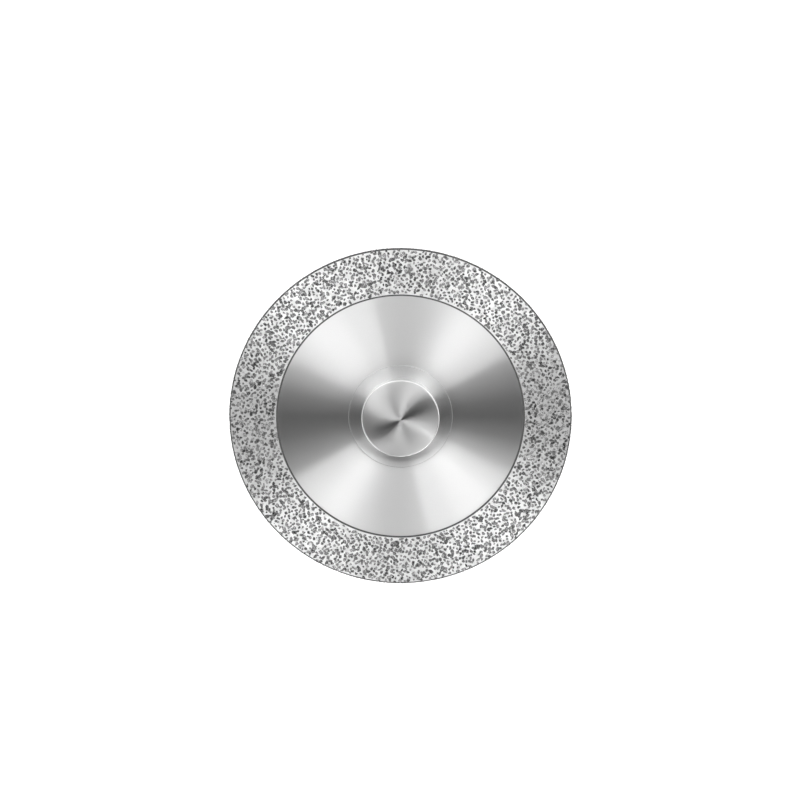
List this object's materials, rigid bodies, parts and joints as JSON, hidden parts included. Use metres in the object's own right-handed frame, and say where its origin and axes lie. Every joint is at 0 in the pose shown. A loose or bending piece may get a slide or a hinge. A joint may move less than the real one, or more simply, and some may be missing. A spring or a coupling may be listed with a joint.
{
  "type": "mounted flexible diamond disc",
  "caption": "Thin flexible steel disc with a diamond-coated rim, clamped between washers under a domed head on a straight handpiece shank.",
  "frame": {"origin": "centre of the shank's free end", "axes": "+Z along the turning axis, from the shank's free end to the domed head; X and Y lie in the plane of the disc, and no direction in it is special"},
  "size_m": [0.022, 0.022, 0.0445],
  "materials": {
    "turned_steel": "bright turned stainless steel with fine lathe marks",
    "brushed_foil": "thin spring steel, brushed in circles",
    "washer_steel": "thin steel, brushed in circles",
    "diamond_nickel": "pale electroplated nickel with dark diamond grains"
  },
  "bodies": {
    "root": {"shank": "turned_steel", "domed_head": "turned_steel", "carrier_disc": "brushed_foil", "front_washer": "washer_steel", "rear_washer": "washer_steel", "diamond_rim": "diamond_nickel"}
  },
  "joints": []
}
